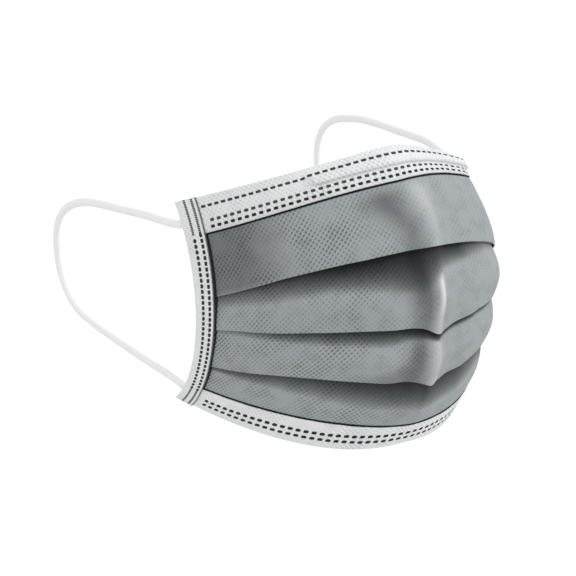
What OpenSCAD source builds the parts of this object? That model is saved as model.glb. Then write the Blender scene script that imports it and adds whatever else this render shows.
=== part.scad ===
// Disposable three-ply dust mask in the shape that it takes on a face.
// Its front faces -Y, the wearer's face is at +Y and +Z is up. The origin is the middle
// of the opening for the face, halfway up between the middles of the two side edges.
// Down the fabric, a level is a pair: distance from the top edge along the middle crest,
// and distance from the top edge along a side edge.

/* [Fabric] */
// Length of the mask laid flat, from one side edge to the other
mask_len = 178; // [150:1:214]
// Thickness of one ply of fabric
ply_t = 0.3; // [0.2:0.05:0.4]
// Air between neighbouring plies
ply_gap = 0.1; // [0.1:0.05:0.2]

/* [Borders] */
// Height of the inner ply's edge that is turned over the front at the top
top_border = 12.5; // [11:0.5:16]
// Height of the inner ply's edge that is turned over the front at the bottom
bottom_border = 12; // [6:0.5:16]
// Width of a side band on the front, and again on the back
side_band = 10; // [7:0.5:14]

/* [Panels between the pleats] */
// Height of each panel at a side edge, where the pleats stay shut
panel_side = [21, 10.5, 14.5, 13.5]; // [6:0.5:30]
// Height of each panel at the middle, where the pleats are drawn open
panel_crest = [23.5, 27, 20, 19.5]; // [10:0.5:40]
// How far each pleat's edge stands in front of the next panel
pleat_step = 1.8; // [0.5:0.1:3]

/* [Worn shape] */
// Half the width between the side edges
half_width = 56.5; // [50:0.5:68]
// How much nearer the chin ends of the side edges are than the nose ends, each side
side_taper = 2; // [0:0.5:4]
// Radius of the side edges, which bow forward at the cheeks
side_r = 47.5; // [40:0.5:80]
// Lean of the side edges, chin end to the back
side_lean = 8; // [0:1:15]
// Radius of the middle crest from nose to chin
crest_r = 72; // [60:1:120]
// Height of the middle of the crest above the origin
crest_up = 12.5; // [0:0.5:25]
// Lean of the crest, nose end to the front
crest_lean = 1.7; // [0:0.1:6]
// How far the crest's nose end bends back from that radius
nose_back = 3.5; // [0:0.5:6]
// How far the crest's chin end bends forward from that radius
chin_forward = 4.5; // [0:0.5:6]

/* [Nose strip] */
// Length of the strip
strip_len = 72; // [60:1:110]
// Width of the strip's sleeve
strip_w = 3; // [2.5:0.1:4]
// Thickness of the strip's sleeve
strip_t = 0.9; // [0.8:0.05:1.4]
// Distance from the top edge to the strip's middle line
strip_down = 5; // [4:0.5:6]
// Diameter of each of the two steel wires
wire_d = 0.4; // [0.3:0.05:0.5]
// Distance between the two wires
wire_spacing = 1.4; // [1:0.1:1.8]

/* [Ear loops] */
// Width of the elastic cord
cord_w = 3; // [2:0.1:3.6]
// Thickness of the elastic cord
cord_t = 2; // [1.5:0.1:3]
// Distance from a corner to the middle of a welded end
loop_inset = 7.5; // [5:0.5:10]
// Length of a cord's end that is welded behind the side band
weld_len = 9; // [6:0.5:10]
// Thickness to which a welded end is pressed
weld_t = 0.8; // [0.6:0.1:1.2]
// Distance from the fabric's edge to the line that the loop swings about
swing_out = 4.5; // [4:0.1:6]
// Left loop's lean outward from straight back
left_lean = 10; // [0:1:20]
// Right loop's lean outward from straight back, negative towards the other loop
right_lean = -14; // [-20:1:10]

/* [Hidden] */

GREY = [0.55, 0.57, 0.58];
WHITE = [0.93, 0.93, 0.92];
FILTER = [0.86, 0.89, 0.92];
STEEL = [0.62, 0.62, 0.64];

half_len = mask_len / 2;
pitch = ply_t + ply_gap;

function sum(list, n) = n == 0 ? 0 : list[n - 1] + sum(list, n - 1);
function unit(v) = v / norm(v);
function clamp01(t) = max(0, min(1, t));
function ramp(t) = let (c = clamp01(t)) c * c * (3 - 2 * c);

// Levels of the two turned edges, the pleats and the ends of the fabric
function mark(panels, k) = top_border + sum(panels, k);
crest_len = mark(panel_crest, 4) + bottom_border;
side_len = mark(panel_side, 4) + bottom_border;

// Turn of the fabric round the face and its dip, at the crest and at a side edge,
// each given at the top, middle and bottom of the mask
TURN_CREST = [-1.5, 3.5, 4];
TURN_SIDE = [66.5, 78.5, 82.5];
DIP_CREST = [-9, 9.5, -4.5];
DIP_SIDE = [-19, -10, 0];

function through3(v, t) =
    v[0] * (1 - t) * (1 - 2 * t) + v[1] * 4 * t * (1 - t) + v[2] * t * (2 * t - 1);
function heading(turn, dip) = [cos(dip) * cos(turn), cos(dip) * sin(turn), sin(dip)];

// The crest bends away from its radius over this length at each end
CREST_BEND = 45;
function crest(d, depth) =
    let (
        a = (d - crest_len / 2) / crest_r * 180 / PI + crest_lean,
        nose = max(0, 1 - d / CREST_BEND),
        chin = max(0, 1 - (crest_len - d) / CREST_BEND),
        bend = nose_back * nose * nose - chin_forward * chin * chin
    )
    [0, crest_r * (1 - cos(a)) - depth + bend, crest_up - crest_r * sin(a)];

function side_edge(d) =
    let (
        a = (d - side_len / 2) / side_r * 180 / PI,
        back = side_r * (1 - cos(a)),
        down = side_r * sin(a)
    )
    [
        half_width - side_taper * (2 * d / side_len - 1),
        back * cos(side_lean) + down * sin(side_lean),
        back * sin(side_lean) - down * cos(side_lean)
    ];

// Point on the right half of the fabric: u is 0 at the crest and 1 at the side edge
function half_point(u, dc, ds, depth) =
    let (
        t = dc / crest_len,
        c = crest(dc, depth),
        e = side_edge(ds),
        reach = half_len / 3,
        a = c + reach * heading(through3(TURN_CREST, t), through3(DIP_CREST, t)),
        b = e - reach * heading(through3(TURN_SIDE, t), through3(DIP_SIDE, t)),
        w = 1 - u
    )
    w * w * w * c + 3 * w * w * u * a + 3 * w * u * u * b + u * u * u * e;

// The cup is as deep as the fabric's length allows, so the depth is found by halving
MEASURE_STEPS = 24;
function row_len(depth) =
    let (p = [for (i = [0:MEASURE_STEPS])
        half_point(i / MEASURE_STEPS, crest_len / 2, side_len / 2, depth)])
    sum([for (i = [1:MEASURE_STEPS]) norm(p[i] - p[i - 1])], MEASURE_STEPS);
function find_depth(low, high, steps) =
    let (middle = (low + high) / 2)
    steps == 0 ? middle
    : row_len(middle) < half_len ? find_depth(middle, high, steps - 1)
    : find_depth(low, middle, steps - 1);
cup_depth = find_depth(0, mask_len, 16);

function fabric(u, dc, ds) =
    let (p = half_point(abs(u), dc, ds, cup_depth)) [u < 0 ? -p.x : p.x, p.y, p.z];

// Outward normal, square to the crest where the two halves meet
NUDGE = 0.01;
function outward(u, dc, ds) =
    let (
        across = fabric(abs(u) + NUDGE, dc, ds) - fabric(abs(u), dc, ds),
        down = fabric(abs(u), dc + NUDGE, ds + NUDGE) - fabric(abs(u), dc, ds),
        n = unit(cross(down, across)),
        m = u == 0 ? unit([0, n.y, n.z]) : n
    )
    [u < 0 ? -m.x : m.x, m.y, m.z];

// A place in the stack: [crest level, side level, height above the outer ply's middle]
function place(u, p) = fabric(u, p[0], p[1]) + outward(u, p[0], p[1]) * p[2];

// Columns that every sheet shares, so that neighbouring plies stay parallel
strip_u = strip_len / 2 / half_len;
band_u = 1 - side_band / half_len;
function span(a, b, n) = [for (i = [1:n]) a + (b - a) * i / n];
HALF_COLUMNS = concat(span(0, strip_u, 6), span(strip_u, band_u, 6), span(band_u, 1, 2));
COLUMNS = concat([for (i = [len(HALF_COLUMNS) - 1:-1:0]) -HALF_COLUMNS[i]], [0], HALF_COLUMNS);
STRIP_COLUMNS = [for (u = COLUMNS) if (abs(u) <= strip_u + NUDGE / 10) u];

// Share of a pleat's step: nothing at the side bands, all of it OPEN_OVER further in
OPEN_OVER = 0.25;
function openness(u) = ramp((band_u - abs(u)) / OPEN_OVER);

// The turned edge is a half round, and the two inner plies start where it starts
turn_r = 1.5 * pitch;
turn_level = turn_r + ply_t / 2;
turn_middle = -pitch / 2;

// Fabric from a pleat's edge to the next panel, and the rows of each panel
LEDGE_DROP = 1.5;
PANEL_ROWS = [4, 4, 3, 3];

function border_levels() = [
    turn_level,
    strip_down - strip_w / 2 - pitch * 2,
    strip_down - strip_w / 2,
    strip_down + strip_w / 2,
    strip_down + strip_w / 2 + pitch * 2,
    (strip_down + strip_w / 2 + pitch * 2 + top_border) / 2,
    top_border
];
BOTTOM_LEVELS = [bottom_border, bottom_border / 2, turn_level];

// One column of the fabric from top to bottom, along the outer ply's middle
function panel_rows(k, u) =
    let (
        set_back = k == 0 ? 0 : pleat_step * openness(u),
        first = k == 0 ? 0 : LEDGE_DROP,
        c0 = mark(panel_crest, k) + first,
        c1 = mark(panel_crest, k + 1),
        s0 = mark(panel_side, k) + first,
        s1 = mark(panel_side, k + 1),
        n = PANEL_ROWS[k]
    )
    [for (i = [k == 0 ? 1 : 0:n])
        [c0 + (c1 - c0) * i / n, s0 + (s1 - s0) * i / n, -set_back * (1 - i / n)]];

function fabric_rows(u) = concat(
    [for (d = border_levels()) [d, d, 0]],
    [for (k = [0:3]) each panel_rows(k, u)],
    [for (i = [1:2]) let (d = BOTTOM_LEVELS[i]) [crest_len - d, side_len - d, 0]]
);

// The same column moved square to itself by h
function flat_step(a, b, u) =
    let (w = abs(u)) [(b[0] - a[0]) * (1 - w) + (b[1] - a[1]) * w, b[2] - a[2]];
function left_of(v) = unit([-v[1], v[0]]);
function moved(rows, u, h) =
    let (last = len(rows) - 1)
    [for (i = [0:last])
        let (
            n0 = left_of(flat_step(rows[max(i - 1, 0)], rows[max(i, 1)], u)),
            n1 = left_of(flat_step(rows[min(i, last - 1)], rows[min(i + 1, last)], u)),
            n = (n0 + n1) / (1 + n0 * n1)
        )
        rows[i] + h * [n[0], n[0], n[1]]];

// Closed solid between two grids of points of the same size. A grid that runs from the left
// side to the right has its diagonals mirrored at the crest.
function cell(a, m, flip) = flip
    ? [[a, a + m, a + 1], [a + 1, a + m, a + m + 1]]
    : [[a, a + m + 1, a + 1], [a, a + m, a + m + 1]];
function grid_face(n, m, start, mirrored) = [for (i = [0:n - 2], j = [0:m - 2])
    each cell(start + i * m + j, m, mirrored && i < (n - 1) / 2)];
function reversed(faces) = [for (f = faces) [f[2], f[1], f[0]]];
function rim_face(n, m) =
    let (
        back = n * m,
        loop = concat(
            [for (j = [0:m - 1]) j],
            [for (i = [1:n - 1]) i * m + m - 1],
            [for (j = [m - 2:-1:0]) (n - 1) * m + j],
            [for (i = [n - 2:-1:1]) i * m]
        ),
        count = len(loop)
    )
    [for (k = [0:count - 1])
        let (a = loop[k], b = loop[(k + 1) % count])
        each [[a, back + b, back + a], [a, b, back + b]]];
module slab(front, back, mirrored = false) {
    n = len(front);
    m = len(front[0]);
    polyhedron(
        points = [for (grid = [front, back], row = grid, p = row) p],
        faces = concat(
            grid_face(n, m, 0, mirrored),
            reversed(grid_face(n, m, n * m, mirrored)),
            rim_face(n, m)
        )
    );
}

// A sheet swept over the given columns from its rows, h0 to h1 square to them
module sheet(columns, column_rows, h0, h1) {
    slab(
        [for (i = [0:len(columns) - 1])
            [for (p = moved(column_rows[i], columns[i], h1)) place(columns[i], p)]],
        [for (i = [0:len(columns) - 1])
            [for (p = moved(column_rows[i], columns[i], h0)) place(columns[i], p)]],
        mirrored = true
    );
}

module outer_layer() {
    color(GREY) sheet(COLUMNS, [for (u = COLUMNS) fabric_rows(u)], -ply_t / 2, ply_t / 2);
}

module filter_layer() {
    color(FILTER)
        sheet(COLUMNS, [for (u = COLUMNS) fabric_rows(u)], -pitch - ply_t / 2, -pitch + ply_t / 2);
}

// The inner ply: up the turned top edge, down the back and up the turned bottom edge
pocket_rise = strip_t + 2 * ply_gap;
function pocket(u) = abs(u) > strip_u + NUDGE / 10 ? 0 : pocket_rise;
TURN_ANGLES = [60, 30, 0, -30, -60];
function turned_top(u) = let (levels = border_levels()) concat(
    [for (i = [len(levels) - 1:-1:0])
        [levels[i], levels[i], pitch + (i == 2 || i == 3 ? pocket(u) : 0)]],
    [for (a = TURN_ANGLES)
        let (d = turn_level - turn_r * cos(a)) [d, d, turn_middle + turn_r * sin(a)]]
);
function turned_bottom() = concat(
    [for (i = [len(TURN_ANGLES) - 1:-1:0])
        let (d = turn_level - turn_r * cos(TURN_ANGLES[i]))
        [crest_len - d, side_len - d, turn_middle + turn_r * sin(TURN_ANGLES[i])]],
    [for (i = [2:-1:0]) let (d = BOTTOM_LEVELS[i]) [crest_len - d, side_len - d, pitch]]
);
module inner_layer() {
    color(WHITE) sheet(
        COLUMNS,
        [for (u = COLUMNS)
            concat(turned_top(u), moved(fabric_rows(u), u, -2 * pitch), turned_bottom())],
        -ply_t / 2,
        ply_t / 2
    );
}

// The nose strip lies in the turned top edge, on the outer ply
strip_middle = ply_t / 2 + ply_gap + strip_t / 2;
module strip_body() {
    rows = [for (d = [-1, 0, 1]) let (s = strip_down + d * strip_w / 2) [s, s, strip_middle]];
    sheet(STRIP_COLUMNS, [for (u = STRIP_COLUMNS) rows], -strip_t / 2, strip_t / 2);
}

// Tube of the given section swept along points; each section point is [along side, along up]
function tube_faces(n, m) = concat(
    [for (i = [0:n - 2], j = [0:m - 1])
        let (a = i * m + j, b = i * m + (j + 1) % m)
        each [[a, b + m, b], [a, a + m, b + m]]],
    [[for (j = [0:m - 1]) j], [for (j = [m - 1:-1:0]) (n - 1) * m + j]]
);
module tube(points, sides, ups, section, scales) {
    n = len(points);
    m = len(section);
    polyhedron(
        points = [for (i = [0:n - 1], s = section)
            points[i] + (sides[i] * s[0] + ups[i] * s[1]) * scales[i]],
        faces = tube_faces(n, m)
    );
}
function oval(w, t, n) = [for (i = [0:n - 1]) [w / 2 * cos(i * 360 / n), t / 2 * sin(i * 360 / n)]];

WIRE_SIDES = 8;
module wire(down, d, overrun) {
    beyond = overrun == 0 ? [] : [strip_u + overrun / half_len];
    columns = concat(-beyond, STRIP_COLUMNS, beyond);
    row = [down, down, strip_middle];
    tube(
        [for (u = columns) place(u, row)],
        [for (u = columns) outward(u, down, down)],
        [for (u = columns) let (n = outward(u, down, down))
            unit(cross(n, cross(fabric(u, down + NUDGE, down + NUDGE) - fabric(u, down, down), n)))],
        oval(d, d, WIRE_SIDES),
        [for (u = columns) 1]
    );
}
wire_downs = [strip_down - wire_spacing / 2, strip_down + wire_spacing / 2];

// Each wire runs in a round channel that is open at the sleeve's ends
WIRE_PLAY = 0.1;
CHANNEL_OVERRUN = 1;
module nose_sleeve() {
    color(WHITE) difference() {
        strip_body();
        for (down = wire_downs) wire(down, wire_d + WIRE_PLAY, CHANNEL_OVERRUN);
    }
}
module nose_wire_upper() { color(STEEL) wire(wire_downs[0], wire_d, 0); }
module nose_wire_lower() { color(STEEL) wire(wire_downs[1], wire_d, 0); }

// A side band is folded round the fabric's edge; its rows follow the plies' rows and its
// path is [distance in from the edge, height]
band_front = 2 * pitch;
band_back = -3 * pitch;
FOLD_OUT = 0.6;
function band_rows() = concat([[0, 0, 0]], fabric_rows(1), [[crest_len, side_len, 0]]);
function band_path() = [
    [side_band, band_front], [side_band / 2, band_front], [0, band_front],
    [-FOLD_OUT, band_front - FOLD_OUT / 2], [-FOLD_OUT, band_back + FOLD_OUT / 2],
    [0, band_back], [side_band / 2, band_back], [side_band, band_back]
];
function path_moved(path, h) =
    let (last = len(path) - 1)
    [for (i = [0:last])
        let (
            n0 = left_of(path[max(i, 1)] - path[max(i - 1, 0)]),
            n1 = left_of(path[min(i + 1, last)] - path[min(i, last - 1)]),
            n = (n0 + n1) / (1 + n0 * n1)
        )
        path[i] + h * n];
module side_band(hand) {
    rows = band_rows();
    faces = [for (h = [hand * ply_t / 2, -hand * ply_t / 2]) path_moved(band_path(), h)];
    grids = [for (face = faces)
        [for (row = rows)
            [for (p = face) place(hand * (1 - p[0] / half_len), [row[0], row[1], p[1]])]]];
    slab(grids[0], grids[1]);
}
module left_side_band() { color(WHITE) side_band(-1); }
module right_side_band() { color(WHITE) side_band(1); }

// The welded ends lie flat on the back of the band; the free loop swings just outside it
weld_middle = band_back - ply_t / 2 - 2 * ply_gap - weld_t / 2;
LOOP_GAP = 0.3;
function upper_level(down) = [down, down];
function lower_level(up) = [crest_len - up, side_len - up];
module loop_end(hand, level) {
    stub = swing_out - cord_w / 2 - LOOP_GAP;
    stations = [for (a = concat([-stub], [for (i = [0:3]) weld_len * i / 3]))
        hand * (1 - a / half_len)];
    rows = [for (u = stations)
        let (
            n = outward(u, level[0], level[1]),
            along = fabric(u, level[0], level[1]) - fabric(u - hand * NUDGE, level[0], level[1]),
            w = unit(cross(n, along)) * cord_w / 2,
            p = place(u, [level[0], level[1], weld_middle])
        )
        [for (h = [1, -1]) [for (k = [-1, 0, 1]) p + k * w + h * n * weld_t / 2]]];
    slab([for (r = rows) r[0]], [for (r = rows) r[1]]);
}
module loop_ends(hand) {
    loop_end(hand, upper_level(loop_inset));
    loop_end(hand, lower_level(loop_inset));
}
module left_loop_ends() { color(WHITE) loop_ends(-1); }
module right_loop_ends() { color(WHITE) loop_ends(1); }

// Each loop lies in a plane through its two swing points. Route points in that plane are
// [distance back from the swing line, height along it from its middle].
LEFT_ROUTE = [
    [8, 29.5], [18, 28], [27.5, 26], [37, 24], [47, 22], [56.5, 19.5], [65, 16], [72.5, 11],
    [77.5, 5], [80, -1.5], [80.5, -7], [80, -14], [77.5, -21], [73, -26.5], [66.5, -30],
    [59, -31], [51.5, -31.5], [36, -31.5], [21.5, -31.5], [8, -31]
];
RIGHT_ROUTE = [
    [3, 34], [9, 39.5], [17, 42], [25, 42], [34.5, 41.5], [44, 41], [53, 40], [60.5, 38],
    [66, 36], [70.5, 32.5], [73, 28.5], [74, 23.5], [73.5, 18], [71.5, 10.5], [67.5, 2.5],
    [62, -5.5], [54, -13], [43.5, -20.5], [31.5, -26.5], [19.5, -30.5], [8.5, -32]
];
function swing_point(hand, level) =
    place(hand * (1 + swing_out / half_len), [level[0], level[1], weld_middle]);
function swing_up(hand) =
    unit(swing_point(hand, upper_level(loop_inset)) - swing_point(hand, lower_level(loop_inset)));
function swing_middle(hand) =
    (swing_point(hand, upper_level(loop_inset)) + swing_point(hand, lower_level(loop_inset))) / 2;
function swing_back(hand, lean) =
    let (
        up = swing_up(hand),
        v = [hand * sin(lean), cos(lean), 0]
    )
    unit(v - up * (v * up));

// A cord's rounded end: each ring's scale, and how far out it is in half widths
CORD_SIDES = 8;
END_SCALES = [0.35, 0.75, 0.95];
END_REACH = [0.94, 0.66, 0.31];
module ear_loop(hand, lean, outline) {
    up = swing_up(hand);
    back = swing_back(hand, lean);
    middle = swing_middle(hand);
    top = swing_point(hand, upper_level(loop_inset));
    low = swing_point(hand, lower_level(loop_inset));
    route = concat([top], [for (p = outline) middle + back * p[0] + up * p[1]], [low]);
    n = len(route);
    first = unit(route[1] - route[0]);
    last = unit(route[n - 1] - route[n - 2]);
    points = concat(
        [for (r = END_REACH) top - first * r * cord_w / 2],
        route,
        [for (i = [2:-1:0]) low + last * END_REACH[i] * cord_w / 2]
    );
    count = len(points);
    along = [for (i = [0:count - 1]) unit(points[min(i + 1, count - 1)] - points[max(i - 1, 0)])];
    face = cross(back, up);
    scales = concat(END_SCALES, [for (i = [1:n]) 1], [for (i = [2:-1:0]) END_SCALES[i]]);
    tube(
        points,
        [for (t = along) unit(cross(face, t))],
        [for (t = along) face],
        oval(cord_w, cord_t, CORD_SIDES),
        scales
    );
}
module left_ear_loop() { color(WHITE) ear_loop(-1, left_lean, LEFT_ROUTE); }
module right_ear_loop() { color(WHITE) ear_loop(1, right_lean, RIGHT_ROUTE); }

outer_layer();
filter_layer();
inner_layer();
nose_sleeve();
nose_wire_upper();
nose_wire_lower();
left_side_band();
right_side_band();
left_loop_ends();
right_loop_ends();
left_ear_loop();
right_ear_loop();
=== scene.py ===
"""Disposable pleated dust mask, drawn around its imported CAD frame.

Every size is in metres. The fabric is one surface, worked out by the same rules as the CAD
model: u runs from the middle crest (0) to a side edge (-1 left, 1 right), and a level is a
pair, the distance down from the top edge along the crest and along a side edge.
"""

import math
from collections import namedtuple

import bpy
import numpy as np
from mathutils import Matrix, Vector
from mathutils.bvhtree import BVHTree


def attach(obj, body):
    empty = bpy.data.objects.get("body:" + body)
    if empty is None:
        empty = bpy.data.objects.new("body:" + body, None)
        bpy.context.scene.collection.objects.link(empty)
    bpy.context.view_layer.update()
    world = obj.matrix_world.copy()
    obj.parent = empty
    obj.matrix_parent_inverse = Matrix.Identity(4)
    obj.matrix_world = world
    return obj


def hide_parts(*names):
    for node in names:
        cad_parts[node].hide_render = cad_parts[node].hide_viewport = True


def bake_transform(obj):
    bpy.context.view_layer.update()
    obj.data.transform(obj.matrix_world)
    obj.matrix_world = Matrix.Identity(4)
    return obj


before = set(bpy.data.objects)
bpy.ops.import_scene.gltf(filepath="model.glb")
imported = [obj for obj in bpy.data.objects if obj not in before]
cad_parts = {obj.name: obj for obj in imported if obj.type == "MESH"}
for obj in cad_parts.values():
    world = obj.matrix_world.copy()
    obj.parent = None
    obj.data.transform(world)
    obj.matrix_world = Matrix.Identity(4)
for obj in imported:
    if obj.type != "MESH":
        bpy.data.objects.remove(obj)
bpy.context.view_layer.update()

# ------------ sizes of the mask
HALF_LEN = 0.089
PLY = 0.0003
PITCH = 0.0004
TOP_BORDER = 0.0125
BOTTOM_BORDER = 0.012
SIDE_BAND = 0.009
PANEL_SIDE = (0.021, 0.0105, 0.0145, 0.0135)
PANEL_CREST = (0.0235, 0.027, 0.020, 0.0195)
HALF_WIDTH = 0.0565
SIDE_TAPER = 0.002
SIDE_R = 0.0475
SIDE_LEAN = math.radians(8)
CREST_R = 0.072
CREST_UP = 0.0125
CREST_LEAN = math.radians(1.7)
CREST_BEND = 0.045
NOSE_BACK = 0.0035
CHIN_FORWARD = 0.0045
STRIP_LEN = 0.072
STRIP_W = 0.003
STRIP_T = 0.0009
STRIP_DOWN = 0.005
WIRE_D = 0.0004
WIRE_SPACING = 0.0014
CORD_W = 0.003
CORD_T = 0.002
LOOP_INSET = 0.0075
WELD_LEN = 0.009
WELD_T = 0.0008
SWING_OUT = 0.0045
LEFT_LEAN = math.radians(10)
RIGHT_LEAN = math.radians(-14)

# Turn of the fabric round the face and its dip, at the top, middle and bottom
TURN_CREST = np.radians((-1.5, 3.5, 4))
TURN_SIDE = np.radians((66.5, 78.5, 82.5))
DIP_CREST = np.radians((-9, 9.5, -4.5))
DIP_SIDE = np.radians((-19, -10, 0))

CREST_LEN = TOP_BORDER + sum(PANEL_CREST) + BOTTOM_BORDER
SIDE_LEN = TOP_BORDER + sum(PANEL_SIDE) + BOTTOM_BORDER
STRIP_U = STRIP_LEN / 2 / HALF_LEN
BAND_U = 1 - SIDE_BAND / HALF_LEN

# Route of each free loop in its own plane: distance back from the swing line, and height
LEFT_ROUTE = (
    (0.008, 0.0295), (0.018, 0.028), (0.0275, 0.026), (0.037, 0.024), (0.047, 0.022),
    (0.0565, 0.0195), (0.065, 0.016), (0.0725, 0.011), (0.0775, 0.005), (0.080, -0.0015),
    (0.0805, -0.007), (0.080, -0.014), (0.0775, -0.021), (0.073, -0.0265), (0.0665, -0.030),
    (0.059, -0.031), (0.0515, -0.0315), (0.036, -0.0315), (0.0215, -0.0315), (0.008, -0.031),
)
RIGHT_ROUTE = (
    (0.003, 0.034), (0.009, 0.0395), (0.017, 0.042), (0.025, 0.042), (0.0345, 0.0415),
    (0.044, 0.041), (0.053, 0.040), (0.0605, 0.038), (0.066, 0.036), (0.0705, 0.0325),
    (0.073, 0.0285), (0.074, 0.0235), (0.0735, 0.018), (0.0715, 0.0105), (0.0675, 0.0025),
    (0.062, -0.0055), (0.054, -0.013), (0.0435, -0.0205), (0.0315, -0.0265),
    (0.0195, -0.0305), (0.0085, -0.032),
)

# ------------ image points
FRAME_PX = 576
POINTS = {
    "object_left_x": 174.7,
    "object_right_x": 498.0,
    "object_top_y": 146.5,
    "object_bottom_y": 448.0,
    "band_top_corner": (174.7, 203.7),
    "band_bottom_corner": (177.5, 394.3),
    "top_line_at_band": (204.5, 234.3),
    "bottom_line_at_band": (201.9, 385.9),
    "top_line_at_nose": (414.0, 175.5),
    "first_pleat_middle": (330.0, 270.5),
    "third_pleat_middle": (330.0, 378.0),
    "ridge_middle": (444.5, 286.0),
    "single_row": (229.6, 199.2),
    "upper_row": (231.7, 214.1),
    "lower_row": (233.0, 220.8),
    "band_outer_row": (203.3, 313.4),
    "band_inner_row": (209.9, 314.7),
    "bottom_inner_row": (267.2, 422.7),
    "bottom_outer_row": (265.0, 427.6),
    "strip_end": (313.0, 183.0),
}

# ------------ camera
LENS_MM = 87.86
SENSOR_MM = 36.0
CAMERA_AZIMUTH = math.radians(-30)
CAMERA_ELEVATION = math.radians(17.5)
CAMERA_DISTANCE = 0.5
AIM_RIGHT = -0.01814
AIM_UP = 0.00322


def make_camera():
    """The camera at the photograph's viewing angle, aimed a little off the origin."""
    back = Vector((
        math.sin(CAMERA_AZIMUTH) * math.cos(CAMERA_ELEVATION),
        -math.cos(CAMERA_AZIMUTH) * math.cos(CAMERA_ELEVATION),
        math.sin(CAMERA_ELEVATION),
    ))
    right = Vector((math.cos(CAMERA_AZIMUTH), math.sin(CAMERA_AZIMUTH), 0))
    up = back.cross(right)
    data = bpy.data.cameras.new("camera")
    data.lens = LENS_MM
    data.sensor_width = SENSOR_MM
    data.sensor_fit = "AUTO"
    camera = bpy.data.objects.new("camera", data)
    bpy.context.collection.objects.link(camera)
    axes = Matrix((right, up, back)).transposed()
    camera.matrix_world = (
        Matrix.Translation(right * AIM_RIGHT + up * AIM_UP + back * CAMERA_DISTANCE) @ axes.to_4x4()
    )
    bpy.context.scene.camera = camera
    bpy.context.view_layer.update()
    return camera


camera = make_camera()


def view_ray(x, y):
    """Start and direction of the ray through an image point."""
    local = Vector((
        x - FRAME_PX / 2 + camera.data.shift_x * FRAME_PX,
        FRAME_PX / 2 - y + camera.data.shift_y * FRAME_PX,
        -FRAME_PX * LENS_MM / SENSOR_MM,
    ))
    direction = camera.matrix_world.to_3x3() @ local
    return camera.matrix_world.translation.copy(), direction.normalized()


def to_image(points):
    """Image x, y of points given in metres."""
    inverse = np.array(camera.matrix_world.inverted())
    local = np.asarray(points) @ inverse[:3, :3].T + inverse[:3, 3]
    scale = FRAME_PX * LENS_MM / SENSOR_MM / -local[..., 2]
    x = FRAME_PX / 2 + local[..., 0] * scale - camera.data.shift_x * FRAME_PX
    y = FRAME_PX / 2 - local[..., 1] * scale + camera.data.shift_y * FRAME_PX
    return np.stack([x, y], -1)


# ------------ the fabric's surface
def unit(v):
    return v / np.linalg.norm(v, axis=-1, keepdims=True)


def ramp(t):
    """0 up to t = 0, a smooth step, and 1 from t = 1."""
    t = np.clip(t, 0, 1)
    return t * t * (3 - 2 * t)


def through3(values, t):
    """Parabola through the three values, at t = 0, 0.5 and 1."""
    top, middle, bottom = values
    return top * (1 - t) * (1 - 2 * t) + middle * 4 * t * (1 - t) + bottom * t * (2 * t - 1)


def heading(turn, dip):
    """Direction of the fabric's rows at that turn round the face and that dip."""
    return np.stack([np.cos(dip) * np.cos(turn), np.cos(dip) * np.sin(turn), np.sin(dip)], -1)


def crest(d, depth):
    """The middle line of the fabric, at level d from its top edge."""
    a = (d - CREST_LEN / 2) / CREST_R + CREST_LEAN
    nose = np.maximum(0, 1 - d / CREST_BEND)
    chin = np.maximum(0, 1 - (CREST_LEN - d) / CREST_BEND)
    bend = NOSE_BACK * nose ** 2 - CHIN_FORWARD * chin ** 2
    forward = CREST_R * (1 - np.cos(a)) - depth + bend
    return np.stack([0 * a, forward, CREST_UP - CREST_R * np.sin(a)], -1)


def side_edge(d):
    """The right side edge of the fabric, at level d from its top edge."""
    a = (d - SIDE_LEN / 2) / SIDE_R
    back = SIDE_R * (1 - np.cos(a))
    down = SIDE_R * np.sin(a)
    return np.stack([
        HALF_WIDTH - SIDE_TAPER * (2 * d / SIDE_LEN - 1),
        back * math.cos(SIDE_LEAN) + down * math.sin(SIDE_LEAN),
        back * math.sin(SIDE_LEAN) - down * math.cos(SIDE_LEAN),
    ], -1)


def half_point(w, dc, ds, depth):
    """A place on the right half: a cubic from the crest (w = 0) to the side edge (w = 1)."""
    t = dc / CREST_LEN
    c = crest(dc, depth)
    e = side_edge(ds)
    reach = HALF_LEN / 3
    a = c + reach * heading(through3(TURN_CREST, t), through3(DIP_CREST, t))
    b = e - reach * heading(through3(TURN_SIDE, t), through3(DIP_SIDE, t))
    w = np.asarray(w)[..., None]
    v = 1 - w
    return v ** 3 * c + 3 * v * v * w * a + 3 * v * w * w * b + w ** 3 * e


DEPTH_STEPS = 25
DEPTH_TRIES = 16


def find_depth():
    """Depth of the cup at which the middle row is as long as the fabric."""
    w = np.linspace(0, 1, DEPTH_STEPS)
    low, high = 0.0, 2 * HALF_LEN
    for _ in range(DEPTH_TRIES):
        middle = (low + high) / 2
        row = half_point(w, CREST_LEN / 2, SIDE_LEN / 2, middle)
        if np.linalg.norm(np.diff(row, axis=0), axis=1).sum() < HALF_LEN:
            low = middle
        else:
            high = middle
    return (low + high) / 2


CUP_DEPTH = find_depth()

# The crest is a soft ridge: its rounding, as a share of the half length, from top to bottom
RIDGE_ROUND = (0.045, 0.016, 0.024)

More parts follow.
